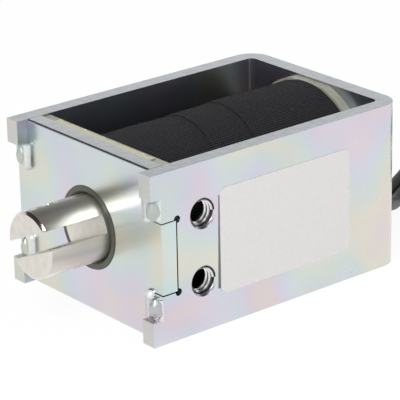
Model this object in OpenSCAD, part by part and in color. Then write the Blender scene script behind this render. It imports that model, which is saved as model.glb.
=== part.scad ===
// Open-frame push pull solenoid: a bent steel strip with a crimped front plate, a taped coil,
// a slotted round plunger that slides and turns in its guide tube, and a push rod at the back.
// Millimetres. X runs along the plunger, from its slotted tip to the push rod. Z is up.

/* [Steel frame] */
// Length from the front plate's outer face to the back end's outer face
frame_length = 45; // [38:0.5:60]
// Width across the two sides of the strip
frame_width = 33; // [31.5:0.5:40]
// Height of the strip, which is also the standing height
frame_height = 25; // [24:0.5:30]
// Thickness of the strip
strip_t = 2.5; // [1.6:0.1:3]
// Outer radius of the two bends
bend_r = 3.4; // [3.2:0.1:6]
// Projection of the four ears past the front plate
ear_out = 1.7; // [1.3:0.1:3]
// Height of each ear
ear_h = 3.6; // [2.5:0.1:4.2]

/* [Front plate] */
// Thickness of the front plate
plate_t = 2.6; // [1.8:0.1:3.2]
// Height of the tenons that pass through the sides
tenon_h = 10.4; // [8:0.1:12]
// Gap between a tenon and its notch
tenon_gap = 0.15; // [0.05:0.05:0.4]
// Diameter of the relief holes in the notch corners
relief_d = 1.1; // [0.6:0.1:1.6]
// Thickness of the crimps that hold the plate
crimp_r = 1; // [0.6:0.1:1.2]
// Radius of the plate's rounded outer edges
plate_edge_r = 0.4; // [0.1:0.1:0.8]

/* [Fixing holes] */
// Nominal thread diameter
screw_d = 4; // [3:0.5:4]
// Distance between the two holes
screw_spacing = 10; // [8:0.5:12]
// Distance of the holes behind the front plate's outer face
screw_x = 7.3; // [6:0.1:10]
// Diameter of the countersink at the mouth of each hole
sink_d = 4.6; // [4.2:0.1:5.2]

/* [Plunger] */
// Diameter of the plunger
plunger_d = 9.84; // [8:0.02:10.4]
// Projection of the plunger past the front plate when it is seated
plunger_out = 10.3; // [8:0.1:14]
// Width of the slot
slot_w = 2.7; // [2:0.1:4]
// Depth of the slot
slot_depth = 9.9; // [8:0.1:12]
// Diameter of the cross hole for a pin
pin_hole_d = 3.2; // [2:0.1:4]
// Distance of the cross hole from the tip
pin_hole_x = 4.7; // [3.5:0.1:6]
// Turn of the plunger about its own axis at rest
plunger_turn = 24; // [0:1:90]
// Chamfer round the tip
tip_chamfer = 0.4; // [0.1:0.1:0.8]
// Distance of the seated plunger's cone from the front plate's outer face
plunger_seat_x = 24; // [20:0.5:28]
// Length of the cone
cone_l = 4; // [2:0.5:6]
// Radius of the flat at the end of the cone
cone_flat_r = 2.6; // [2.2:0.1:3.4]

/* [Push rod] */
// Diameter of the push rod
rod_d = 3; // [2:0.1:3.6]
// Projection of the rod past the back end when the plunger is seated
rod_out = 10; // [8:0.5:12]
// Length of the rod that is pressed into the plunger
rod_grip = 8; // [5:0.5:9]
// Thickness of the washer between plunger and pole
washer_t = 0.5; // [0.3:0.1:1]

/* [Guide tube and pole] */
// Wall of the guide tube
tube_wall = 1.1; // [0.5:0.1:1.4]
// Projection of the guide tube past the front plate
tube_out = 0.1; // [0:0.05:0.5]
// Chamfer at the mouth of the guide tube
tube_chamfer = 0.35; // [0.1:0.05:0.5]
// Diameter of the pole's spigot, which is staked in the back end
spigot_d = 8; // [6:0.5:9]
// Width of the staked lip round the spigot
stake_lip = 0.3; // [0.1:0.1:0.6]
// Thickness of the staked head
stake_t = 0.35; // [0.2:0.05:0.6]
// Gap between the cone and its seat in the pole
seat_gap = 0.35; // [0.3:0.05:0.6]

/* [Coil] */
// Wall of the bobbin's core
core_wall = 1.1; // [0.8:0.1:1.6]
// Thickness of the front flange
front_flange_t = 1.6; // [1:0.1:2.5]
// Thickness of the rear flange
rear_flange_t = 1.5; // [1:0.1:2.5]
// Height of a flat flange edge below the rim of the frame
flange_drop = 0.3; // [0.2:0.1:1]
// Height of the rear flange above the coil's outer surface
rear_flange_over = 0.25; // [0:0.05:0.6]
// Depth of the coil's top below the rim of the frame
coil_drop = 0.05; // [0.05:0.05:1]
// Thickness of one layer of cloth tape
tape_t = 0.22; // [0.15:0.01:0.3]
// Thickness of the film under the cloth tape
film_t = 0.2; // [0.1:0.05:0.4]
// Distance of the front wrap's rear edge from the front plate's outer face
wrap_1_end = 18; // [14:0.5:20]
// Distance of the middle wrap's rear edge from the front plate's outer face
wrap_2_end = 25.5; // [23.5:0.5:30]
// Overlap of one wrap on the next
wrap_lap = 3.5; // [2:0.5:5]

/* [Leads] */
// Outer diameter of a lead
lead_d = 2.1; // [1.6:0.1:2.4]
// Diameter of its tinned strands
core_d = 1; // [0.6:0.1:1.2]
// Length of tinned strands at the free end
tip_l = 6; // [3:0.5:10]
// Distance between the two leads in the grommet
lead_spacing = 2.3; // [2.2:0.1:2.6]
// Length of lead inside the coil
lead_in = 10; // [6:0.5:12]
// Length of a solder joint
joint_l = 5; // [3:0.5:6]
// Diameter of the grommet's neck
grommet_d = 5.4; // [5:0.1:6]
// Diameter of the grommet's lips
grommet_lip_d = 7.2; // [6.6:0.1:7.6]
// Thickness of one lip
grommet_lip_t = 0.8; // [0.5:0.1:1]
// Distance of the grommet's centre inside the coil's outer surface
lead_exit_in = 2.05; // [2.05:0.05:2.5]
// Angle of the grommet from straight down, towards the side with the fixing holes
lead_exit_angle = 36; // [35:1:50]

/* [Label] */
// Length of the label
label_l = 24.2; // [15:0.1:28]
// Height of the label
label_h = 15.6; // [10:0.1:20]
// Thickness of the label
label_t = 0.12; // [0.1:0.01:0.2]
// Radius of its corners
label_r = 1.2; // [0.5:0.1:2]
// Distance of the label behind the front plate's outer face
label_x = 10.2; // [9.8:0.1:12]

/* [Fits] */
// Radial clearance of the sliding plunger in its tube and of the rod in the pole
slide_gap = 0.08; // [0.03:0.01:0.1]
// Clearance between pieces that are pressed together or butt
press_gap = 0.02; // [0.01:0.01:0.05]
// Clearance between pieces that are laid in loosely
loose_gap = 0.1; // [0.05:0.05:0.3]

/* [Hidden] */
$fn = 72;
eps = 0.01;
far = 100;

axis_z = frame_height / 2;
half_w = frame_width / 2;
inner_half_w = half_w - strip_t;
back_in_x = frame_length - strip_t;
notch_h = tenon_h + 2 * tenon_gap;
notch_x = plate_t + tenon_gap;
crimp_h = (frame_height - notch_h) / 2 - ear_h;
crimp_lean = 0.1;

tube_bore_r = plunger_d / 2 + slide_gap;
tube_r = tube_bore_r + tube_wall;
core_bore_r = tube_r + press_gap;
core_r = core_bore_r + core_wall;

coil_r = axis_z - coil_drop;
tape_in_r = coil_r - 3 * tape_t;
film_in_r = tape_in_r - film_t;
rear_flange_r = coil_r + rear_flange_over;
coil_x0 = plate_t + front_flange_t + loose_gap;
coil_x1 = back_in_x - rear_flange_t - loose_gap;

plunger_l = plunger_out + plunger_seat_x + cone_l;
washer_x = plunger_seat_x + cone_l;
pole_x0 = plunger_seat_x + seat_gap;
cup_flat_x = washer_x + washer_t;
rod_x0 = washer_x - rod_grip;
rod_x1 = frame_length + rod_out;

lead_exit_r = coil_r - lead_exit_in;
exit_y = -lead_exit_r * sin(lead_exit_angle);
exit_z = axis_z - lead_exit_r * cos(lead_exit_angle);
lip_x = frame_length + grommet_lip_t;
pocket_r = lead_spacing / 2 + lead_d / 2 + 0.4;

// The part stands with the middle of its length, without the free leads, over the origin.
mid_x = (rod_x1 - plunger_out) / 2;

// Route of each lead from the grommet to the coil of spare lead: x from the grommet's lip,
// y from its centre, z above the floor.
lead_a_route = [[3.5, 1.3, 3.2], [6.5, 3.2, 2.5], [9.5, 5.5, 1.7], [13, 7.8, 1.1], [17.7, 10.4, 1.1],
                [22, 12.7, 1.1], [26.4, 15.1, 1.3]];
lead_b_route = [[3.5, -0.8, 4.6], [6.5, 0.5, 3.8], [9.5, 2.6, 2.5], [12.5, 4.7, 1.4], [16, 6.8, 1.1],
                [20.5, 9.3, 1.1], [25.2, 11.8, 1.3]];
// Last stretch of each lead, from the coil to the floor: [distance past the coil's tangent, height].
lead_a_tail = [[7.3, 3.3], [10, 2.5], [12.5, 1.4], [14.5, 1.1], [17, 1.1]];
lead_b_tail = [[10.1, 3.3], [12.5, 2.5], [15, 1.4], [17, 1.1], [19.5, 1.1]];
// Straight stretch of a lead behind the grommet.
straight_l = 1;
rings_per_span = 2;
lead_sides = 8;

// The coil of spare lead: lead a lies outside lead b, in two layers, on the band of the tie.
coil_centre = [39, 7.9];
coil_a_r = 12.4;
coil_b_r = coil_a_r - lead_spacing;
coil_start_angle = 119;
coil_a_turns = 1.15;
coil_b_turns = 1.3;
coil_layers = 2;
tie_t = 0.3;
tie_w = 2.4;
tie_head = [4.4, 3.2, 1.6];
tie_angle = 92;
coil_top = tie_t + coil_layers * lead_d;

module in_frame() translate([-mid_x, 0, 0]) children();

// Turns a shape that stands along Z so that it lies along the coil's axis, from x.
module along_axis(x) translate([x, 0, axis_z]) rotate([0, 90, 0]) children();

module tube_x(x0, x1, r_out, r_in) {
    along_axis(x0) difference() {
        cylinder(r = r_out, h = x1 - x0);
        translate([0, 0, -eps]) cylinder(r = r_in, h = x1 - x0 + 2 * eps);
    }
}

// A rectangle that starts at the origin, with corners of radius r.
module rounded_rect(size, r) {
    translate([r, 0]) square([size[0] - 2 * r, size[1]]);
    translate([0, r]) square([size[0], size[1] - 2 * r]);
    for (x = [r, size[0] - r]) for (y = [r, size[1] - r]) translate([x, y]) circle(r = r);
}

// A ring whose section is given as [radius, x] points.
module ring_x(section) along_axis(0) rotate_extrude() polygon(section);

// ---- Steel frame ----

// Plan of a strip's outline: open at x0, with rounded corners of radius r at x1.
module strip_plan(x0, x1, half, r) {
    translate([x0, -half]) square([x1 - r - x0, 2 * half]);
    translate([x0, r - half]) square([x1 - x0, 2 * (half - r)]);
    for (side = [-1, 1]) translate([x1 - r, side * (half - r)]) circle(r = r);
}

module crimp_section() {
    nub_y = -inner_half_w + crimp_lean;
    polygon([[0, -half_w], [-crimp_r / 2, -half_w + 0.4], [-crimp_r, nub_y], [0, nub_y]]);
    intersection() {
        translate([0, nub_y]) circle(r = crimp_r);
        translate([-2 * crimp_r, nub_y - 2 * crimp_r]) square([2 * crimp_r, 4 * crimp_r]);
    }
}

// The crimp beside an ear: a punched ridge that leans over the front plate and ends in a dome.
module crimp() {
    nub_y = -inner_half_w + crimp_lean;
    z0 = frame_height - ear_h - crimp_h;
    translate([0, 0, z0 + crimp_r / 2]) linear_extrude(crimp_h - crimp_r / 2 + eps) crimp_section();
    intersection() {
        translate([0, nub_y, z0 + crimp_r / 2]) sphere(r = crimp_r);
        translate([-far, -half_w, z0 - crimp_r]) cube([far, half_w, 2 * crimp_r]);
    }
}

module at_four_corners() {
    for (up = [0, 1]) for (side = [0, 1])
        translate([0, 0, up * frame_height]) mirror([0, 0, up]) mirror([0, side, 0]) children();
}

module screw_hole(z) {
    sink_depth = (sink_d - screw_d) / 2;
    translate([screw_x, -half_w, z]) rotate([-90, 0, 0]) {
        translate([0, 0, -1]) cylinder(d = screw_d, h = strip_t + 2);
        translate([0, 0, -eps]) cylinder(d1 = sink_d + 2 * eps, d2 = screw_d, h = sink_depth);
    }
}

module frame_strip() color([0.82, 0.81, 0.82]) in_frame() {
    difference() {
        linear_extrude(frame_height) difference() {
            strip_plan(-ear_out, frame_length, half_w, bend_r);
            strip_plan(-ear_out - 1, back_in_x, inner_half_w, bend_r - strip_t);
        }
        translate([-far + notch_x, -far, axis_z - notch_h / 2]) cube([far, 2 * far, notch_h]);
        for (z = [ear_h, frame_height - ear_h - crimp_h])
            translate([-far, -far, z]) cube([far, 2 * far, crimp_h]);
        for (z = [-1, 1]) translate([notch_x, far, axis_z + z * notch_h / 2])
            rotate([90, 0, 0]) cylinder(d = relief_d, h = 2 * far);
        for (z = [-1, 1]) screw_hole(axis_z + z * screw_spacing / 2);
        along_axis(back_in_x - 1) cylinder(r = spigot_d / 2 + press_gap, h = strip_t + 2);
        translate([back_in_x - 1, exit_y, exit_z]) rotate([0, 90, 0])
            cylinder(r = grommet_d / 2 + press_gap, h = strip_t + 2);
    }
    at_four_corners() crimp();
}

// ---- Front plate ----

module plate_section(h) {
    translate([plate_edge_r, -h / 2]) square([plate_t - plate_edge_r, h]);
    translate([0, plate_edge_r - h / 2]) square([plate_t, h - 2 * plate_edge_r]);
    for (side = [-1, 1]) translate([plate_edge_r, side * (h / 2 - plate_edge_r)]) circle(r = plate_edge_r);
}

module front_plate() color([0.8, 0.79, 0.82]) in_frame() difference() {
    union() {
        translate([0, inner_half_w - press_gap, axis_z]) rotate([90, 0, 0])
            linear_extrude(2 * (inner_half_w - press_gap)) plate_section(frame_height);
        translate([0, -half_w, axis_z - tenon_h / 2]) cube([plate_t, frame_width, tenon_h]);
    }
    along_axis(-1) cylinder(r = tube_r + press_gap, h = plate_t + 2);
}

// ---- Coil ----

module guide_tube() color([0.36, 0.37, 0.34]) in_frame() ring_x([
    [tube_bore_r + tube_chamfer, -tube_out], [tube_r, -tube_out], [tube_r, back_in_x - press_gap],
    [tube_bore_r, back_in_x - press_gap], [tube_bore_r, tube_chamfer - tube_out]]);

module bobbin() color([0.7, 0.69, 0.6]) in_frame() difference() {
    union() {
        along_axis(plate_t + press_gap) cylinder(r = core_r, h = back_in_x - plate_t - 2 * press_gap);
        translate([plate_t + press_gap, loose_gap - inner_half_w, flange_drop])
            cube([front_flange_t, 2 * (inner_half_w - loose_gap), frame_height - 2 * flange_drop]);
        intersection() {
            along_axis(back_in_x - press_gap - rear_flange_t) cylinder(r = rear_flange_r, h = rear_flange_t);
            translate([0, -far, flange_drop]) cube([far, 2 * far, frame_height - 2 * flange_drop]);
        }
    }
    along_axis(0) cylinder(r = core_bore_r, h = frame_length);
    translate([back_in_x - rear_flange_t - 1, exit_y, exit_z]) rotate([0, 90, 0])
        cylinder(r = grommet_lip_d / 2 + loose_gap, h = rear_flange_t + 2);
}

module winding() color([0.72, 0.42, 0.25]) in_frame() difference() {
    tube_x(coil_x0, coil_x1, film_in_r, core_r + press_gap);
    translate([coil_x1 - lead_in - joint_l, exit_y, exit_z]) rotate([0, 90, 0])
        cylinder(r = pocket_r, h = far);
}

module insulating_film() color([0.78, 0.72, 0.42]) in_frame()
    tube_x(coil_x0, coil_x1, tape_in_r - eps, film_in_r + eps);

module tape_wrap_front() color([0.1, 0.1, 0.11]) in_frame() ring_x([
    [tape_in_r, coil_x0], [coil_r, coil_x0], [coil_r, wrap_1_end],
    [tape_in_r + 2 * tape_t + eps, wrap_1_end], [tape_in_r + 2 * tape_t + eps, wrap_1_end - wrap_lap],
    [tape_in_r, wrap_1_end - wrap_lap]]);

module tape_wrap_middle() color([0.1, 0.1, 0.11]) in_frame() ring_x([
    [tape_in_r, wrap_1_end - wrap_lap + eps], [tape_in_r + 2 * tape_t, wrap_1_end - wrap_lap + eps],
    [tape_in_r + 2 * tape_t, wrap_2_end], [tape_in_r + tape_t + eps, wrap_2_end],
    [tape_in_r + tape_t + eps, wrap_2_end - wrap_lap], [tape_in_r, wrap_2_end - wrap_lap]]);

module tape_wrap_rear() color([0.1, 0.1, 0.11]) in_frame() ring_x([
    [tape_in_r, wrap_2_end - wrap_lap + eps], [tape_in_r + tape_t, wrap_2_end - wrap_lap + eps],
    [tape_in_r + tape_t, wrap_2_end + eps], [tape_in_r + 2 * tape_t, wrap_2_end + eps],
    [tape_in_r + 2 * tape_t, coil_x1], [tape_in_r, coil_x1]]);

module stop_pole() color([0.72, 0.71, 0.7]) in_frame() {
    pole_r = tube_bore_r - press_gap;
    hole_r = rod_d / 2 + slide_gap;
    head_r = spigot_d / 2 + stake_lip;
    ring_x([
        [hole_r, cup_flat_x], [cone_flat_r + seat_gap, cup_flat_x], [pole_r, pole_x0 + seat_gap],
        [pole_r, back_in_x - press_gap], [spigot_d / 2, back_in_x - press_gap],
        [spigot_d / 2, frame_length + press_gap], [head_r, frame_length + press_gap],
        [head_r - stake_lip, frame_length + stake_t], [hole_r, frame_length + stake_t]]);
}

// ---- Moving pieces ----

// Turns a shape about the coil's axis by the plunger's angle at rest.
module turned() translate([0, 0, axis_z]) rotate([-plunger_turn, 0, 0])
    translate([0, 0, -axis_z]) children();

module plunger() color([0.76, 0.73, 0.69]) in_frame() turned() {
    r = plunger_d / 2;
    grip_r = rod_d / 2 + press_gap;
    tip_x = -plunger_out;
    difference() {
        ring_x([
            [0, tip_x], [r - tip_chamfer, tip_x], [r, tip_x + tip_chamfer], [r, plunger_seat_x],
            [cone_flat_r, washer_x - press_gap], [grip_r, washer_x - press_gap],
            [grip_r, rod_x0 - press_gap], [0, rod_x0 - press_gap]]);
        translate([tip_x - 1, -far, axis_z - slot_w / 2]) cube([slot_depth + 1, 2 * far, slot_w]);
        translate([tip_x + pin_hole_x, 0, 0]) cylinder(d = pin_hole_d, h = frame_height);
    }
}

module push_rod() color([0.75, 0.74, 0.72]) in_frame() {
    end_chamfer = rod_d / 10;
    ring_x([
        [0, rod_x0], [rod_d / 2, rod_x0], [rod_d / 2, rod_x1 - end_chamfer],
        [rod_d / 2 - end_chamfer, rod_x1], [0, rod_x1]]);
}

module gap_washer() color([0.78, 0.66, 0.36]) in_frame()
    tube_x(washer_x, cup_flat_x - press_gap, cone_flat_r, rod_d / 2 + slide_gap);

// ---- Leads ----

// Moves a shape from the grommet's centre to one of the two leads: side is 1 for a, -1 for b.
module at_lead(x, side) translate([x, exit_y, exit_z]) rotate([-lead_exit_angle, 0, 0])
    translate([0, side * lead_spacing / 2, 0]) children();

module lead_grommet() color([0.12, 0.12, 0.13]) in_frame() translate([0, exit_y, exit_z]) rotate([0, 90, 0])
    rotate_extrude() polygon([
        [0, back_in_x - grommet_lip_t], [grommet_lip_d / 2, back_in_x - grommet_lip_t],
        [grommet_lip_d / 2, back_in_x - press_gap], [grommet_d / 2, back_in_x - press_gap],
        [grommet_d / 2, frame_length + press_gap], [grommet_lip_d / 2, frame_length + press_gap],
        [grommet_lip_d / 2 - grommet_lip_t / 2, lip_x], [0, lip_x]]);

module lead_inner(side) at_lead(coil_x1 - lead_in, side) rotate([0, 90, 0])
    cylinder(d = lead_d, h = back_in_x - grommet_lip_t - press_gap - coil_x1 + lead_in);

module solder_joint(side) at_lead(coil_x1 - lead_in - joint_l + loose_gap, side) rotate([0, 90, 0]) {
    cylinder(d = core_d, h = joint_l - loose_gap - press_gap);
    translate([0, 0, joint_l / 2]) sphere(d = 1.8 * core_d);
}

module lead_a_inner() color([0.12, 0.12, 0.13]) in_frame() lead_inner(1);
module lead_b_inner() color([0.12, 0.12, 0.13]) in_frame() lead_inner(-1);
module solder_joint_a() color([0.7, 0.71, 0.72]) in_frame() solder_joint(1);
module solder_joint_b() color([0.7, 0.71, 0.72]) in_frame() solder_joint(-1);

// Where a lead leaves the grommet's outer lip.
function exit_point(side) = [
    lip_x + press_gap,
    exit_y + side * lead_spacing / 2 * cos(lead_exit_angle),
    exit_z - side * lead_spacing / 2 * sin(lead_exit_angle)];

// A point given from the grommet's lip in plan and from the floor in height.
function on_floor(p) = [lip_x + p[0], exit_y + p[1], p[2]];

// A point past the place where a lead leaves the coil, straight on along its tangent.
function tail_point(r, turns, p) = let (angle = coil_start_angle - 360 * turns)
    on_floor([coil_centre[0] + r * cos(angle) + p[0] * sin(angle),
              coil_centre[1] + r * sin(angle) - p[0] * cos(angle), p[1]]);

function unit(v) = v / norm(v);

// Point at t, from 0 to 1, on the smooth curve between b and c, with neighbours a and d.
function curve_point(a, b, c, d, t) =
    0.5 * (2 * b + (c - a) * t + (2 * a - 5 * b + 4 * c - d) * t * t + (3 * b - a - 3 * c + d) * t * t * t);

// n points to each span of the smooth curve through p.
function smooth(p, n) = let (last = len(p) - 1) [
    for (i = [0:last - 1]) for (k = [0:n - 1])
        curve_point(i == 0 ? 2 * p[0] - p[1] : p[i - 1], p[i], p[i + 1],
                    i == last - 1 ? 2 * p[last] - p[last - 1] : p[i + 2], k / n),
    p[last]];

// One closed tube of radius r through the points, with flat ends square to the first and last spans.
module swept_tube(points, r, sides) {
    last = len(points) - 1;
    heading = [for (i = [0:last]) unit(points[min(i + 1, last)] - points[max(i - 1, 0)])];
    rings = [for (i = [0:last])
        let (across = unit(cross([0, 0, 1], heading[i])), up = cross(heading[i], across))
        for (k = [0:sides - 1]) points[i] + r * (cos(360 * k / sides) * across + sin(360 * k / sides) * up)];
    walls = [for (i = [0:last - 1]) for (k = [0:sides - 1]) let (n = (k + 1) % sides)
        [i * sides + k, (i + 1) * sides + k, (i + 1) * sides + n, i * sides + n]];
    start_cap = [for (k = [0:sides - 1]) k];
    end_cap = [for (k = [sides - 1:-1:0]) last * sides + k];
    polyhedron(rings, concat(walls, [start_cap], [end_cap]));
}

// A lead from the grommet to the coil. A short straight stretch keeps its first face flat on the lip.
module lead(route, side) {
    start = exit_point(side);
    bend = smooth(concat([start + [straight_l, 0, 0]], [for (p = route) on_floor(p)]), rings_per_span);
    swept_tube(concat([start, start + [straight_l / 2, 0, 0]], bend), lead_d / 2, lead_sides);
}

module lead_tail(r, turns, tail)
    swept_tube(smooth([for (p = tail) tail_point(r, turns, p)], rings_per_span), lead_d / 2, lead_sides);

// The tinned strands that go on from the end of a tail.
module lead_tip(r, turns, tail) {
    start = tail[len(tail) - 1] + [press_gap, 0];
    translate(tail_point(r, turns, start)) rotate([0, 90, coil_start_angle - 360 * turns - 90])
        cylinder(d = core_d, h = tip_l);
}

module at_coil() translate(on_floor([coil_centre[0], coil_centre[1], 0])) children();

// The outline round the turns of the coil, d outside them.
module coil_section(d) translate([coil_b_r - lead_d / 2 - d, tie_t - d])
    rounded_rect([coil_a_r - coil_b_r + lead_d + 2 * d, coil_layers * lead_d + 2 * d], lead_d / 2 + d);

module lead_coil() color([0.15, 0.15, 0.16]) in_frame() at_coil() rotate_extrude() coil_section(0);

// A flat band round the turns, with its head on top.
module lead_tie() color([0.85, 0.85, 0.82]) in_frame() at_coil() rotate([0, 0, tie_angle]) {
    translate([0, tie_w / 2, 0]) rotate([90, 0, 0]) linear_extrude(tie_w) difference() {
        coil_section(tie_t);
        coil_section(loose_gap);
    }
    translate([(coil_a_r + coil_b_r - tie_head[0]) / 2, -tie_head[1] / 2, coil_top + tie_t - eps])
        cube(tie_head);
}

module lead_a() color([0.15, 0.15, 0.16]) in_frame() lead(lead_a_route, 1);
module lead_b() color([0.15, 0.15, 0.16]) in_frame() lead(lead_b_route, -1);
module lead_a_end() color([0.15, 0.15, 0.16]) in_frame() lead_tail(coil_a_r, coil_a_turns, lead_a_tail);
module lead_b_end() color([0.15, 0.15, 0.16]) in_frame() lead_tail(coil_b_r, coil_b_turns, lead_b_tail);
module lead_a_tip() color([0.7, 0.71, 0.72]) in_frame() lead_tip(coil_a_r, coil_a_turns, lead_a_tail);
module lead_b_tip() color([0.7, 0.71, 0.72]) in_frame() lead_tip(coil_b_r, coil_b_turns, lead_b_tail);

// ---- Label ----

module label() color([0.87, 0.87, 0.85]) in_frame()
    translate([label_x, -half_w, axis_z - label_h / 2]) rotate([90, 0, 0]) linear_extrude(label_t)
        rounded_rect([label_l, label_h], label_r);

frame_strip();
front_plate();
guide_tube();
bobbin();
winding();
insulating_film();
tape_wrap_front();
tape_wrap_middle();
tape_wrap_rear();
stop_pole();
lead_grommet();
lead_a_inner();
lead_b_inner();
solder_joint_a();
solder_joint_b();
label();
gap_washer();
plunger();
push_rod();
lead_a();
lead_b();
lead_coil();
lead_tie();
lead_a_end();
lead_b_end();
lead_a_tip();
lead_b_tip();
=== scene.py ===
import math

import bpy
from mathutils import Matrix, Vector, noise


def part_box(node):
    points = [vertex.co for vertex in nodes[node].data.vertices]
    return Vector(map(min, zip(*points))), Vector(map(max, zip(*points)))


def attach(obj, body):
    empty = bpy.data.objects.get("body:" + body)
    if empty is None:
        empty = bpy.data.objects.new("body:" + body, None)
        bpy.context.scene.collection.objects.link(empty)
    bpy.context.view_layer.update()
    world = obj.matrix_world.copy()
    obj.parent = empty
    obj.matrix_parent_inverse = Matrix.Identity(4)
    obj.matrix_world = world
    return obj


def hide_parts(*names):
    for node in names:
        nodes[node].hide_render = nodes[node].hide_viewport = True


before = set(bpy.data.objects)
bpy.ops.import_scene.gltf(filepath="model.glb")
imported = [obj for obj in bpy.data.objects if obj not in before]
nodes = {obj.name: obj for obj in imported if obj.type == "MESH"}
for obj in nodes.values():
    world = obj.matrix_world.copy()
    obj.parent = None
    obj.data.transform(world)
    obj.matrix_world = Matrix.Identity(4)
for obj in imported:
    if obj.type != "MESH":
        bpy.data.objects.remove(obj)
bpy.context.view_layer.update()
mm = 0.001
print("frame loaded:", len(nodes), "nodes")


# small tools
def clearSelection():
    if bpy.context.mode != "OBJECT":
        bpy.ops.object.mode_set(mode="OBJECT")
    bpy.ops.object.select_all(action="DESELECT")


def makeActive(piece):
    clearSelection()
    piece.select_set(True)
    bpy.context.view_layer.objects.active = piece


def startEdit(piece, kind="FACE"):
    makeActive(piece)
    bpy.ops.object.mode_set(mode="EDIT")
    bpy.ops.mesh.select_mode(type=kind)


def endEdit():
    bpy.ops.object.mode_set(mode="OBJECT")


def applyPlace(piece):
    makeActive(piece)
    bpy.ops.object.transform_apply(location=True, rotation=True, scale=True)


def smooth(piece, below):
    makeActive(piece)
    bpy.ops.object.shade_smooth_by_angle(angle=math.radians(below))


def addModifier(piece, kind, settings):
    makeActive(piece)
    modifier = piece.modifiers.new(kind.title(), kind)
    for key, value in settings.items():
        setattr(modifier, key, value)
    bpy.ops.object.modifier_apply(modifier=modifier.name)


softening = {"merge": 0.002 * mm, "flat": 0.4, "segments": 2, "sharpAbove": 40,
             "smoothBelow": 30, "weight": 100}


def softCopy(nodeName, pieceName, width):
    # a copy of a CAD node with merged corners and rounded edges
    piece = bpy.data.objects.new(pieceName, nodes[nodeName].data.copy())
    bpy.context.scene.collection.objects.link(piece)
    startEdit(piece, "VERT")
    bpy.ops.mesh.select_all(action="SELECT")
    bpy.ops.mesh.remove_doubles(threshold=softening["merge"])
    bpy.ops.mesh.dissolve_limited(angle_limit=math.radians(softening["flat"]))
    endEdit()
    addModifier(piece, "BEVEL", {
        "width": width, "segments": softening["segments"], "limit_method": "ANGLE",
        "angle_limit": math.radians(softening["sharpAbove"]), "use_clamp_overlap": True})
    smooth(piece, softening["smoothBelow"])
    addModifier(piece, "WEIGHTED_NORMAL", {"keep_sharp": True, "weight": softening["weight"]})
    return piece


def dress(piece, material):
    piece.data.materials.clear()
    piece.data.materials.append(material)


def settle(piece, body, replaced=()):
    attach(piece, body)
    if replaced:
        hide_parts(*replaced)


# shader maths
class Wire:
    def __init__(self, graph, socket):
        self.graph = graph
        self.socket = socket

    def math(self, operation, first, second):
        return self.graph.node("ShaderNodeMath", {"operation": operation}, {0: first, 1: second})

    def __add__(self, other):
        return self.math("ADD", self, other)

    def __sub__(self, other):
        return self.math("SUBTRACT", self, other)

    def __rsub__(self, other):
        return self.math("SUBTRACT", other, self)

    def __mul__(self, other):
        return self.math("MULTIPLY", self, other)

    def __truediv__(self, other):
        return self.math("DIVIDE", self, other)

    def __rtruediv__(self, other):
        return self.math("DIVIDE", other, self)

    def __gt__(self, other):
        return self.math("GREATER_THAN", self, other)

    def __lt__(self, other):
        return self.math("LESS_THAN", self, other)

    __radd__ = __add__
    __rmul__ = __mul__


class Graph:
    def __init__(self, name=None, world=None):
        owner = world or bpy.data.materials.new(name)
        owner.use_nodes = True
        self.owner = owner
        self.tree = owner.node_tree
        self.tree.nodes.clear()

    def node(self, kind, settings=None, inputs=None, output=0):
        made = self.tree.nodes.new(kind)
        for key, value in (settings or {}).items():
            if key == "stops":
                while len(made.color_ramp.elements) < len(value):
                    made.color_ramp.elements.new(0.5)
                for element, (place, colour) in zip(made.color_ramp.elements, value):
                    element.position = place
                    element.color = (*colour, 1)
            else:
                setattr(made, key, value)
        for key, value in (inputs or {}).items():
            if isinstance(value, Wire):
                self.tree.links.new(value.socket, made.inputs[key])
            else:
                made.inputs[key].default_value = value
        return Wire(self, made.outputs[output]) if made.outputs else made

    def place(self, output="Object"):
        return self.node("ShaderNodeTexCoord", output=output)

    def stretched(self, scale):
        return self.node("ShaderNodeMapping", {}, {"Vector": self.place(), "Scale": scale})

    def noise(self, scale, detail=3, vector=None):
        return self.node("ShaderNodeTexNoise", {}, {
            "Vector": vector or self.place(), "Scale": scale, "Detail": detail})

    def split(self, vector, axis):
        return self.node("ShaderNodeSeparateXYZ", {}, {0: vector}, axis)

    def size(self, value):
        return self.node("ShaderNodeMath", {"operation": "ABSOLUTE"}, {0: value})

    def ramp(self, value, stops):
        return self.node("ShaderNodeValToRGB", {"stops": stops}, {0: value})

    def blend(self, factor, first, second, mode="MIX"):
        settings = {"data_type": "RGBA", "blend_type": mode}
        return self.node("ShaderNodeMix", settings, {0: factor, 6: first, 7: second}, 2)

    def bump(self, height, distance):
        return self.node("ShaderNodeBump", {}, {"Height": height, "Distance": distance})

    def surface(self, inputs):
        shader = self.node("ShaderNodeBsdfPrincipled", {}, inputs)
        self.node("ShaderNodeOutputMaterial", {}, {"Surface": shader})
        return self.owner


def rgba(colour):
    return (*colour, 1)


# camera, floor and light
view = {"place": (-0.19933, -0.24265, 0.13239), "turn": (68.80, 0.93, -40.05), "lens": 207.1,
        "sensor": 36.0, "shift": (-0.055, 0.0025)}
light = {"keyPlace": (-0.47, -0.26, 0.54), "keySize": 0.36, "keyPower": 3.4,
         "fillPlace": (0.02, -0.62, 0.40), "fillSize": 0.3, "fillPower": 0.5,
         "aim": (0, 0, 0.01), "world": 0.66,
         "floorSize": 6.0, "floorColour": (0.90, 0.90, 0.895), "floorGlow": 0.93, "footprint": (0.0200, 0.0142)}


def addCamera():
    data = bpy.data.cameras.new("camera")
    data.lens = view["lens"]
    data.sensor_width = view["sensor"]
    data.shift_x, data.shift_y = view["shift"]
    data.clip_start = 0.01
    camera = bpy.data.objects.new("camera", data)
    camera.location = view["place"]
    camera.rotation_euler = [math.radians(a) for a in view["turn"]]
    bpy.context.scene.collection.objects.link(camera)
    bpy.context.scene.camera = camera


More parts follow.
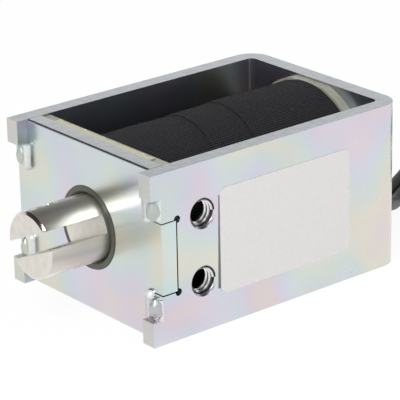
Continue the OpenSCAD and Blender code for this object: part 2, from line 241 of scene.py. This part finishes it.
def addLamp(name, place, size, power):
    data = bpy.data.lights.new(name, "AREA")
    data.shape = "SQUARE"
    data.size = size
    data.energy = power
    lamp = bpy.data.objects.new(name, data)
    lamp.location = place
    lamp.rotation_euler = (Vector(light["aim"]) - lamp.location).to_track_quat("-Z", "Y").to_euler()
    bpy.context.scene.collection.objects.link(lamp)


def addFloor():
    bpy.ops.mesh.primitive_plane_add(size=light["floorSize"], location=(0, 0, 0))
    floor = bpy.context.object
    floor.name = "floor"
    applyPlace(floor)
    graph = Graph("paleFloor")
    rays = [graph.node("ShaderNodeLightPath", output=kind)
            for kind in ("Is Camera Ray", "Is Glossy Ray", "Is Transmission Ray")]
    seen = rays[0].math("MAXIMUM", rays[0], rays[1])
    seen = seen.math("MAXIMUM", seen, rays[2])
    alongX, alongY = [graph.size(graph.split(graph.place(), axis)) for axis in (0, 1)]
    # painted shadow patch on the floor, the size of the frame's footprint
    paintedShadowPatch = (alongX < light["footprint"][0]) * (alongY < light["footprint"][1])
    seen = seen * (1 - paintedShadowPatch)   # painted shadow: no glow inside the frame's footprint, so the floor there stays dark
    matte = graph.node("ShaderNodeBsdfDiffuse", {}, {"Color": rgba(light["floorColour"])})
    glow = graph.node("ShaderNodeEmission", {}, {"Color": (1, 1, 1, 1), "Strength": 1.0})
    both = graph.node("ShaderNodeMixShader", {}, {0: seen * light["floorGlow"], 1: matte, 2: glow})
    graph.node("ShaderNodeOutputMaterial", {}, {"Surface": both})
    dress(floor, graph.owner)


def addWorld():
    world = bpy.data.worlds.new("studio")
    bpy.context.scene.world = world
    graph = Graph(world=world)
    height = graph.split(graph.place("Generated"), 2)
    sky = graph.ramp(height, [
        (0.0, (1.0, 1.0, 1.0)), (0.12, (0.90, 0.91, 0.92)), (0.38, (0.68, 0.70, 0.72)),
        (0.48, (0.06, 0.045, 0.035)), (0.80, (0.035, 0.028, 0.022)), (1.0, (0.30, 0.30, 0.31))])
    camera, glossy, clear = [graph.node("ShaderNodeLightPath", output=kind)
                             for kind in ("Is Camera Ray", "Is Glossy Ray", "Is Transmission Ray")]
    colour = graph.blend(glossy, rgba([light["world"]] * 3), sky)
    colour = graph.blend(camera + clear, colour, (1, 1, 1, 1))
    shade = graph.node("ShaderNodeBackground", {}, {"Color": colour, "Strength": 1.0})
    graph.node("ShaderNodeOutputWorld", {}, {"Surface": shade})


addCamera()
addWorld()
addFloor()
addLamp("keyLamp", light["keyPlace"], light["keySize"], light["keyPower"])
addLamp("fillLamp", light["fillPlace"], light["fillSize"], light["fillPower"])
bpy.context.scene.view_settings.view_transform = "Standard"
print("camera, floor and light placed")


# materials
def zinc(name, base, roughness, grain=0.5):
    # bright zinc with thin-film colours that drift over the sheet
    graph = Graph(name)
    drift = graph.noise(70, 1.5)
    cross = graph.noise(110, 1.0)
    film = graph.ramp(drift, [
        (0.30, (0.99, 0.92, 0.80)), (0.40, (0.95, 0.87, 0.95)), (0.48, (0.86, 0.92, 1.0)),
        (0.56, (0.86, 0.97, 0.90)), (0.64, (0.99, 0.97, 0.83)), (0.74, (0.98, 0.88, 0.92))])
    tone = graph.ramp(cross, [(0.3, (0.92, 0.92, 0.92)), (0.7, (1.0, 1.0, 1.0))])
    colour = graph.blend(1.0, rgba(base), film, "MULTIPLY")
    colour = graph.blend(0.6, colour, tone, "MULTIPLY")
    speck = graph.noise(900, 2) > 0.77
    colour = graph.blend(speck * 0.5, colour, (0.25, 0.23, 0.21, 1))
    rough = graph.noise(500, 2) * 0.06 + roughness - 0.03
    bump = graph.bump(graph.noise(180, 2), 0.03 * grain * mm)
    return graph.surface({"Base Color": colour, "Metallic": 1.0, "Roughness": rough, "Normal": bump})


def shearedZinc():
    graph = Graph("shearedZinc")
    streak = graph.noise(900, 3, graph.stretched((1, 1, 0.15)))
    colour = graph.ramp(streak, [(0.3, (0.66, 0.68, 0.70)), (0.7, (0.76, 0.77, 0.79))])
    return graph.surface({"Base Color": colour, "Metallic": 1.0, "Roughness": 0.24,
                          "Normal": graph.bump(streak, 0.02 * mm)})


def turned(name, base, roughness, pitch=2600):
    # fine rings round the X axis
    graph = Graph(name)
    rings = graph.noise(pitch, 2, graph.stretched((1, 0.01, 0.01)))
    patch = graph.noise(300, 2)
    colour = graph.blend(patch * 0.3, rgba(base), rgba([c * 0.8 for c in base]))
    return graph.surface({"Base Color": colour, "Metallic": 1.0, "Roughness": patch * 0.1 + roughness,
                          "Normal": graph.bump(rings, 0.004 * mm)})


def milled():
    graph = Graph("nickelMilled")
    marks = graph.noise(900, 2, graph.stretched((0.2, 1, 1)))
    colour = graph.ramp(marks, [(0.3, (0.70, 0.67, 0.61)), (0.7, (0.78, 0.745, 0.69))])
    return graph.surface({"Base Color": colour, "Metallic": 1.0, "Roughness": 0.42,
                          "Normal": graph.bump(marks, 0.01 * mm)})


def clothTape(name, lean):
    # plain weave wound round the coil's axis, with the lumps of the layers beneath
    graph = Graph(name)
    low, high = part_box("tape_wrap_middle")
    centred = graph.node("ShaderNodeMapping", {}, {
        "Vector": graph.place(), "Location": (0, 0, -(low.z + high.z) / 2)})
    x, y, z = [graph.split(centred, axis) for axis in range(3)]
    arc = z.math("ARCTAN2", z, y) * ((high.z - low.z) / 2)

    def wave(value):
        return graph.node("ShaderNodeMath", {"operation": "SINE"}, {0: value * (math.pi / weave["pitch"])})

    threads = graph.size(wave(x + arc * lean) * wave(arc))
    dust = graph.noise(1500, 2) > 0.76
    shade = graph.noise(160, 2)
    dark = graph.ramp(shade, [(0.3, (0.002, 0.002, 0.003)), (0.75, (0.007, 0.007, 0.008))])
    colour = graph.blend(threads, dark, (0.055, 0.055, 0.060, 1))
    colour = graph.blend(dust * 0.4, colour, (0.22, 0.22, 0.22, 1))
    weaveBump = graph.bump(threads, weave["depth"])
    lumps = graph.noise(130, 2, graph.stretched((1, 0.5, 0.5)))
    normal = graph.node("ShaderNodeBump", {}, {
        "Height": lumps, "Distance": weave["lump"], "Normal": weaveBump})
    return graph.surface({"Base Color": colour, "Roughness": 0.8, "Specular IOR Level": 0.25,
                          "Normal": normal})


def nylon():
    graph = Graph("naturalNylon")
    cloud = graph.noise(400, 3)
    colour = graph.ramp(cloud, [(0.3, (0.26, 0.27, 0.22)), (0.7, (0.38, 0.38, 0.30))])
    return graph.surface({"Base Color": colour, "Roughness": 0.42, "Subsurface Weight": 0.2,
                          "Subsurface Scale": 0.5 * mm, "Normal": graph.bump(cloud, 0.03 * mm)})


def plain(name, colour, roughness, metallic=0.0, grain=1200, depth=0.02):
    graph = Graph(name)
    cloud = graph.noise(grain, 3)
    toned = graph.blend(cloud * 0.5, rgba(colour), rgba([c * 0.7 for c in colour]))
    return graph.surface({"Base Color": toned, "Metallic": metallic, "Roughness": cloud * 0.12 + roughness,
                          "Normal": graph.bump(cloud, depth * mm)})


def threadPaintedLight():
    # painted highlight on the crests, painted shade in the roots
    graph = Graph("threadPaintedLight")
    crest = graph.node("ShaderNodeAttribute", {"attribute_name": "crest"}, {}, 2)
    marks = graph.noise(1800, 2)
    colour = graph.ramp(crest + marks * 0.2, [
        (0.15, (0.012, 0.012, 0.013)), (0.45, (0.10, 0.10, 0.10)),
        (0.70, (0.74, 0.74, 0.73)), (1.0, (0.86, 0.86, 0.85))])
    return graph.surface({"Base Color": colour, "Metallic": 1.0, "Roughness": 0.3,
                          "Normal": graph.bump(marks, 0.02 * mm)})


def labelPaper():
    graph = Graph("labelPaper")
    fibre = graph.noise(2500, 3)
    colour = graph.ramp(fibre, [(0.3, (0.66, 0.645, 0.635)), (0.7, (0.69, 0.675, 0.665))])
    return graph.surface({"Base Color": colour, "Roughness": 0.5, "Specular IOR Level": 0.35,
                          "Normal": graph.bump(fibre, 0.006 * mm)})


weave = {"pitch": 0.38 * mm, "depth": 0.2 * mm, "lump": 0.5 * mm}
finish = {
    "strip": zinc("zincStrip", (0.775, 0.755, 0.775), 0.27),
    # rough rolled edges, lighter and less metallic than the sheet: a painted highlight on the bevels
    "edge": plain("roughEdgePaintedHighlight", (0.72, 0.73, 0.74), 0.4, 0.35),
    "tenonEnd": zinc("zincTenonEnd", (0.72, 0.79, 0.86), 0.22),
    "punched": zinc("zincPunched", (0.64, 0.63, 0.60), 0.45, 2.0),
    # painted shadow along the label's left edge
    "shade": plain("paintedLabelShadow", (0.16, 0.16, 0.18), 0.6),
    # darker inner walls: painted shade in the frame's recess
    "inside": zinc("zincInsidePaintedShade", (0.50, 0.51, 0.55), 0.30, 2.5),
    "earEnd": zinc("zincEarEnd", (0.70, 0.68, 0.61), 0.36),
    "plate": zinc("zincPlate", (0.74, 0.73, 0.74), 0.25),
    "rim": shearedZinc(),
    "tube": plain("darkTube", (0.13, 0.135, 0.115), 0.42, 0.7),
    "nylon": nylon(),
    "thread": threadPaintedLight(),
    "tornFilm": plain("tornFilm", (0.52, 0.50, 0.34), 0.3, 0.0, 500, 0.1),
    "copper": plain("copperWire", (0.60, 0.25, 0.11), 0.3, 1.0),
    "film": plain("polyesterFilm", (0.55, 0.50, 0.28), 0.3),
    "tapeFront": clothTape("clothTapeFront", 0.05), "tapeMiddle": clothTape("clothTapeMiddle", -0.06),
    "tapeRear": clothTape("clothTapeRear", 0.09),
    "steel": turned("turnedSteel", (0.60, 0.59, 0.58), 0.3),
    "rubber": plain("grommetRubber", (0.02, 0.02, 0.02), 0.6),
    "pvc": plain("leadPvc", (0.030, 0.031, 0.033), 0.42, 0.0, 1500, 0.006),
    "solder": plain("tinnedWire", (0.66, 0.67, 0.68), 0.3, 1.0),
    "paper": labelPaper(),
    "brass": plain("brassWasher", (0.72, 0.52, 0.24), 0.25, 1.0),
    "nickel": turned("nickelTurned", (0.78, 0.735, 0.69), 0.07),
    "milled": milled(),
    "rod": turned("groundRod", (0.74, 0.73, 0.72), 0.14),
    "tie": plain("tieNylon", (0.62, 0.62, 0.58), 0.4),
}
print("materials made")


# leads
lead = {"diameter": 2.1, "spacing": 2.3, "exitAngle": 36.0, "straight": 1.0,
        "routeA": [(3.5, 1.3, 3.2), (6.5, 3.2, 2.5), (9.5, 5.5, 1.7), (13, 7.8, 1.1), (17.7, 10.4, 1.1),
                   (22, 12.7, 1.1), (26.4, 15.1, 1.3)],
        "routeB": [(3.5, -0.8, 4.6), (6.5, 0.5, 3.8), (9.5, 2.6, 2.5), (12.5, 4.7, 1.4), (16, 6.8, 1.1),
                   (20.5, 9.3, 1.1), (25.2, 11.8, 1.3)],
        "tailA": [(7.3, 3.3), (10, 2.5), (12.5, 1.4), (14.5, 1.1), (17, 1.1)],
        "tailB": [(10.1, 3.3), (12.5, 2.5), (15, 1.4), (17, 1.1), (19.5, 1.1)],
        "coilCentre": (39, 7.9), "coilRadiusA": 12.4, "startAngle": 119, "turnsA": 1.15, "turnsB": 1.3,
        "tie": 0.3, "gap": 0.02, "riseFrom": 0.66, "riseTo": 0.86, "stepsPerTurn": 60, "stepsPerSpan": 8}


def smoothRoute(points, count):
    # the same curve through the points as in the CAD
    made = []
    last = len(points) - 1
    for i in range(last):
        a = 2 * points[0] - points[1] if i == 0 else points[i - 1]
        b, c = points[i], points[i + 1]
        d = 2 * points[last] - points[last - 1] if i == last - 1 else points[i + 2]
        for k in range(count):
            t = k / count
            made.append(0.5 * (2 * b + (c - a) * t + (2 * a - 5 * b + 4 * c - d) * t ** 2
                               + (3 * b - a - 3 * c + d) * t ** 3))
    return made + [points[last]]


def leadPath(side, route, tail, radius, turns):
    low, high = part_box("lead_grommet")
    origin = Vector((high.x / mm, (low.y + high.y) / 2 / mm, 0))
    centreZ = (low.z + high.z) / 2 / mm
    half = side * lead["spacing"] / 2
    angle = math.radians(lead["exitAngle"])
    start = origin + Vector((lead["gap"], half * math.cos(angle), centreZ - half * math.sin(angle)))
    path = [start, start + Vector((lead["straight"] / 2, 0, 0))]
    bends = [start + Vector((lead["straight"], 0, 0))] + [origin + Vector(p) for p in route]
    path += smoothRoute(bends, lead["stepsPerSpan"])
    centre = origin + Vector((*lead["coilCentre"], 0))
    lower = lead["tie"] + lead["diameter"] / 2
    steps = round(turns * lead["stepsPerTurn"])
    for i in range(steps + 1):
        turn = turns * i / steps
        around = math.radians(lead["startAngle"] - 360 * turn)
        rise = min(max((turn - lead["riseFrom"]) / (lead["riseTo"] - lead["riseFrom"]), 0), 1)
        height = lower + lead["diameter"] * rise * rise * (3 - 2 * rise)
        path.append(centre + Vector((radius * math.cos(around), radius * math.sin(around), height)))
    around = math.radians(lead["startAngle"] - 360 * turns)
    edge = centre + radius * Vector((math.cos(around), math.sin(around), 0))
    ahead = Vector((math.sin(around), -math.cos(around), 0))
    path += smoothRoute([edge + ahead * d + Vector((0, 0, z)) for d, z in tail], lead["stepsPerSpan"])
    return [p * mm for p in path]


def addLead(name, path, replaced):
    curve = bpy.data.curves.new(name, "CURVE")
    curve.dimensions = "3D"
    curve.bevel_depth = lead["diameter"] / 2 * mm
    curve.bevel_resolution = 6
    curve.use_fill_caps = True
    spline = curve.splines.new("POLY")
    spline.points.add(len(path) - 1)
    for point, place in zip(spline.points, path):
        point.co = (*place, 1)
    spline.use_smooth = True
    piece = bpy.data.objects.new(name, curve)
    bpy.context.scene.collection.objects.link(piece)
    curve.materials.append(finish["pvc"])
    settle(piece, "housing", replaced)
    length = sum((b - a).length for a, b in zip(path, path[1:]))
    print(name, "is", round(length / mm), "mm long")


pathA = leadPath(1, lead["routeA"], lead["tailA"], lead["coilRadiusA"], lead["turnsA"])
pathB = leadPath(-1, lead["routeB"], lead["tailB"], lead["coilRadiusA"] - lead["spacing"], lead["turnsB"])
addLead("leadA", pathA, ["lead_a", "lead_a_end", "lead_coil"])
addLead("leadB", pathB, ["lead_b", "lead_b_end"])


# steel frame and front plate
edges = {"strip": 0.09 * mm, "plate": 0.08 * mm, "plunger": 0.10 * mm}
stripThickness = 2.5 * mm
zones = {"square": 0.98, "wall": 0.9, "tenon": 0.95, "bend": 1.5 * mm, "skin": 0.02 * mm, "tenonStart": 1 * mm,
         "lowBand": 3 * mm, "topBand": 22 * mm, "earsX": -22.5 * mm, "frontX": -20 * mm}


def markFaces(piece, material, test):
    piece.data.materials.append(material)
    for face in piece.data.polygons:
        if test(face):
            face.material_index = len(piece.data.materials) - 1


strip = softCopy("frame_strip", "frameStrip", edges["strip"])
dress(strip, finish["strip"])
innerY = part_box("frame_strip")[1].y - stripThickness
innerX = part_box("frame_strip")[1].x - stripThickness
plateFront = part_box("front_plate")[0].x
markFaces(strip, finish["rim"], lambda face: abs(face.normal.z) > zones["square"])
# inner walls and inner bend get the painted shade
markFaces(strip, finish["inside"], lambda face: (
    abs(face.normal.y) > zones["wall"] and abs(face.center.y) < innerY + zones["skin"]
    or face.normal.x < -0.5 and innerX - zones["bend"] < face.center.x < innerX + zones["skin"]))
markFaces(strip, finish["earEnd"], lambda face: (
    face.normal.x < -zones["wall"] and face.center.x < plateFront))
# bevels at the top, bottom and ears get the painted highlight
markFaces(strip, finish["edge"], lambda face: (
    max(abs(v) for v in face.normal) < zones["tenon"]
    and (face.center.z > zones["topBand"] or face.center.z < zones["lowBand"] or face.center.x < zones["earsX"])
    and (abs(face.normal.z) > 0.2 or face.center.x < zones["frontX"])))
settle(strip, "housing", ["frame_strip"])
plate = softCopy("front_plate", "frontPlate", edges["plate"])
dress(plate, finish["plate"])
markFaces(plate, finish["rim"], lambda face: abs(face.normal.z) > zones["square"])
markFaces(plate, finish["tenonEnd"], lambda face: (
    abs(face.normal.y) > zones["tenon"] and abs(face.center.y) > innerY + zones["tenonStart"]))
settle(plate, "housing", ["front_plate"])
print("frame and front plate made")


# punched lumps that hold the plate
lump = {"half": (1.22, 1.0, 1.75), "out": 0.3, "earHeight": 3.6, "below": 1.6, "farInset": 0.9,
        "dent": 0.3, "dentScale": 1.4, "taper": 0.16, "segments": 40, "rings": 24}


def addPunchedLump(name, side, up):
    frameLow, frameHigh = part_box("frame_strip")
    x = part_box("front_plate")[0].x - lump["out"] * mm
    y = side * (frameHigh.y - lump["half"][1] * mm)
    if side > 0:
        y -= lump["farInset"] * mm   # the far ones were struck further in
    fromEnd = (lump["earHeight"] + lump["below"]) * mm
    z = frameHigh.z - fromEnd if up else frameLow.z + fromEnd
    bpy.ops.mesh.primitive_uv_sphere_add(segments=lump["segments"], ring_count=lump["rings"], radius=mm)
    dome = bpy.context.object
    dome.name = name
    spot = Vector((x, y, z))
    for corner in dome.data.vertices:
        unit = corner.co / mm
        drop = 1 - lump["taper"] * unit.z * (1 if up else -1)   # narrower towards the ear
        ripple = 1 - lump["dent"] * max(0, noise.noise(unit * lump["dentScale"] + spot / mm))
        halfX, halfY, halfZ = lump["half"]
        shaped = (unit.x * halfX * drop * ripple, unit.y * halfY * ripple, unit.z * halfZ)
        corner.co = spot + Vector(shaped) * mm
    makeActive(dome)
    bpy.ops.object.shade_smooth()
    dress(dome, finish["punched"])
    settle(dome, "housing")


addPunchedLump("lumpNearUpper", -1, True)
addPunchedLump("lumpNearLower", -1, False)
addPunchedLump("lumpFarUpper", 1, True)
addPunchedLump("lumpFarLower", 1, False)
print("lumps punched")


# threads of the fixing holes
thread = {"pitch": 0.7, "crest": 1.64, "root": 2.03, "flank": 0.48, "margin": 0.06, "steps": 110,
          "spacing": 10, "x": 7.3, "highlightBand": 0.1, "smoothBelow": 35}


def addThread(name, z):
    # a strip of three flanks wound into a helix, then closed
    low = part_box("front_plate")[0]
    flank = thread["pitch"] * thread["flank"]
    turns = (stripThickness / mm - 2 * thread["margin"] - 2 * flank) / thread["pitch"]
    root, crest = thread["root"], thread["crest"]
    profile = [(root, -flank), (crest, 0), (root, flank), (root, -flank)]
    bpy.ops.mesh.primitive_grid_add(x_subdivisions=3, y_subdivisions=thread["steps"], size=2)
    ridge = bpy.context.object
    ridge.name = name
    for corner in ridge.data.vertices:
        r, h = profile[round((corner.co.x + 1) * 1.5)]
        way = (corner.co.y + 1) / 2 * turns
        around = 2 * math.pi * way
        depth = thread["margin"] + flank + h + way * thread["pitch"]
        corner.co = Vector((low.x + thread["x"] * mm, low.y, z)) + Vector(
            (r * math.cos(around), depth, r * math.sin(around))) * mm
    startEdit(ridge, "EDGE")
    bpy.ops.mesh.select_all(action="SELECT")
    bpy.ops.mesh.remove_doubles(threshold=0.001 * mm)
    bpy.ops.mesh.fill_holes(sides=4)
    bpy.ops.mesh.select_all(action="SELECT")
    bpy.ops.mesh.normals_make_consistent(inside=False)
    endEdit()
    applyPlace(ridge)
    # vertices near the crest get the painted highlight, the others the painted shade of the roots
    marks = ridge.data.attributes.new("crest", "FLOAT", "POINT")
    for corner, mark in zip(ridge.data.vertices, marks.data):
        reach = math.hypot(corner.co.x - low.x - thread["x"] * mm, corner.co.z - z)
        mark.value = 1 if reach < (crest + thread["highlightBand"]) * mm else 0
    dress(ridge, finish["thread"])
    smooth(ridge, thread["smoothBelow"])
    settle(ridge, "housing")


midZ = (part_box("frame_strip")[0].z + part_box("frame_strip")[1].z) / 2
addThread("upperThread", midZ + thread["spacing"] / 2 * mm)
addThread("lowerThread", midZ - thread["spacing"] / 2 * mm)
print("threads cut")


# painted shadow: a dark wedge along the label's left edge, standing for the shade under a lifted edge
labelShadowSize = {"top": 0.07, "bottom": 0.36, "short": 0.9, "under": 0.2, "depth": 0.8, "edge": 0.03,
          "smoothBelow": 30}


def addLabelEdgeShadow():
    low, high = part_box("label")
    bpy.ops.mesh.primitive_cube_add(size=1, location=(low.x, high.y, (low.z + high.z) / 2))
    wedge = bpy.context.object
    wedge.name = "labelEdgeShadow"
    wedge.scale = (labelShadowSize["under"] * mm, (high.y - low.y), high.z - low.z - 2 * labelShadowSize["short"] * mm)
    applyPlace(wedge)
    middle = (low.z + high.z) / 2
    for corner in wedge.data.vertices:
        corner.co.y = high.y - (labelShadowSize["depth"] if corner.co.y < high.y else 0) * (high.y - low.y)
        if corner.co.x < low.x:
            corner.co.x = low.x - (labelShadowSize["top"] if corner.co.z > middle else labelShadowSize["bottom"]) * mm
    addModifier(wedge, "BEVEL", {"width": labelShadowSize["edge"] * mm, "segments": 2, "limit_method": "ANGLE"})
    smooth(wedge, labelShadowSize["smoothBelow"])
    dress(wedge, finish["shade"])
    settle(wedge, "housing")


addLabelEdgeShadow()


# cloth tape round the coil
wraps = {
    "wrapFront": {"node": "tape_wrap_front", "finish": "tapeFront", "from": 4.3, "to": 19.5,
                  "slant": 0.0, "under": 0.30, "turn": 0.0},
    "wrapMiddle": {"node": "tape_wrap_middle", "finish": "tapeMiddle", "from": 17.3, "to": 27.5,
                   "slant": -1.2, "under": 0.16, "turn": 1.2},
    "wrapRear": {"node": "tape_wrap_rear", "finish": "tapeRear", "from": 24.4, "to": 41.0,
                 "slant": -1.6, "under": 0.02, "turn": 1.0}}
tapeLook = {"around": 180, "along": 40, "thick": 0.12, "lump": 0.12, "lumpLevel": 0.6, "ripple": 0.06,
            "rippleLevel": 0.5, "rippleScale": 4, "spreadX": 0.16, "spreadRound": 1.6, "smoothBelow": 40}


def addWrap(name, wrap):
    low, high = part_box("tape_wrap_front")
    axis = Vector((0, (low.y + high.y) / 2, (low.z + high.z) / 2))
    radius = (high.z - low.z) / 2 - wrap["under"] * mm
    bpy.ops.mesh.primitive_grid_add(
        x_subdivisions=tapeLook["along"], y_subdivisions=tapeLook["around"], size=2)
    tape = bpy.context.object
    tape.name = name
    for corner in tape.data.vertices:
        t = (corner.co.x + 1) / 2
        around = math.pi * corner.co.y
        lean = wrap["slant"] * math.cos(around - wrap["turn"])
        begin = wrap["from"] + lean
        x = begin + (wrap["to"] - begin) * t
        spot = Vector((x * tapeLook["spreadX"], math.cos(around) * tapeLook["spreadRound"],
                       math.sin(around) * tapeLook["spreadRound"]))
        fold = (noise.noise(spot) + tapeLook["lumpLevel"]) * tapeLook["lump"]
        ripple = (noise.noise(spot * tapeLook["rippleScale"]) + tapeLook["rippleLevel"]) * tapeLook["ripple"]
        r = radius - (fold + ripple) * mm
        corner.co = axis + Vector((plateFront + x * mm, -r * math.sin(around), -r * math.cos(around)))
    startEdit(tape)
    bpy.ops.mesh.select_all(action="SELECT")
    bpy.ops.mesh.remove_doubles(threshold=0.001 * mm)
    bpy.ops.mesh.normals_make_consistent(inside=False)
    endEdit()
    addModifier(tape, "SOLIDIFY", {"thickness": tapeLook["thick"] * mm, "offset": -1})
    smooth(tape, tapeLook["smoothBelow"])
    dress(tape, finish[wrap["finish"]])
    settle(tape, "housing", [wrap["node"]])


for wrapName, wrapSizes in wraps.items():
    addWrap(wrapName, wrapSizes)
print("coil taped")


# torn edge of the film beside the plate
torn = {"fromY": -11.0, "toY": 11.0, "x": 2.4, "width": 1.15, "lift": 0.1, "thick": 0.06, "below": 0.17,
        "seed": 5, "columns": 6, "rows": 90, "rag": 0.45, "ragLevel": 0.12, "ragScale": 900,
        "curlScale": 350, "curlLevel": 0.25}


def addTornFilm():
    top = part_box("frame_strip")[1].z
    bpy.ops.mesh.primitive_grid_add(
        x_subdivisions=torn["columns"], y_subdivisions=torn["rows"], size=1,
        location=(plateFront + (torn["x"] + torn["width"] / 2) * mm,
                  (torn["fromY"] + torn["toY"]) / 2 * mm, top - torn["below"] * mm))
    film = bpy.context.object
    film.name = "tornFilmEdge"
    film.scale = (torn["width"] * mm, (torn["toY"] - torn["fromY"]) * mm, 1)
    applyPlace(film)
    startX = plateFront + torn["x"] * mm
    for corner in film.data.vertices:
        across = (corner.co.x - startX) / (torn["width"] * mm)
        rag = noise.noise(Vector((corner.co.y * torn["ragScale"], torn["seed"], 0)))
        curl = noise.noise(Vector((
            corner.co.y * torn["curlScale"], corner.co.x * torn["ragScale"], torn["seed"] * 2)))
        corner.co.x += across * (rag * torn["rag"] + torn["ragLevel"]) * mm
        corner.co.z += max(0, curl + torn["curlLevel"]) * across * torn["lift"] * mm
    addModifier(film, "SOLIDIFY", {"thickness": torn["thick"] * mm, "offset": 1})
    addModifier(film, "SUBSURF", {"levels": 1, "render_levels": 1})
    makeActive(film)
    bpy.ops.object.shade_smooth()
    dress(film, finish["tornFilm"])
    settle(film, "housing")


addTornFilm()
print("film edge torn")


# plunger
plunger = softCopy("plunger", "slottedPlunger", edges["plunger"])
dress(plunger, finish["nickel"])
milledFlat = {"end": 0.95, "side": 0.05, "area": 2e-6}   # end faces, and the slot's walls by their size
markFaces(plunger, finish["milled"], lambda face: (
    abs(face.normal.x) > milledFlat["end"]
    or face.area > milledFlat["area"] and abs(face.normal.x) < milledFlat["side"]))
settle(plunger, "plunger", ["plunger"])

# finishes of the nodes that keep their CAD mesh
plainFinishes = {
    "guide_tube": "tube", "bobbin": "nylon", "winding": "copper", "insulating_film": "film",
    "stop_pole": "steel", "lead_grommet": "rubber", "lead_a_inner": "pvc", "lead_b_inner": "pvc",
    "solder_joint_a": "solder", "solder_joint_b": "solder", "label": "paper", "gap_washer": "brass",
    "push_rod": "rod", "lead_tie": "tie", "lead_a_tip": "solder", "lead_b_tip": "solder"}
for nodeName, finishName in plainFinishes.items():
    dress(nodes[nodeName], finish[finishName])
    smooth(nodes[nodeName], softening["smoothBelow"])
clearSelection()
print("pieces dressed")
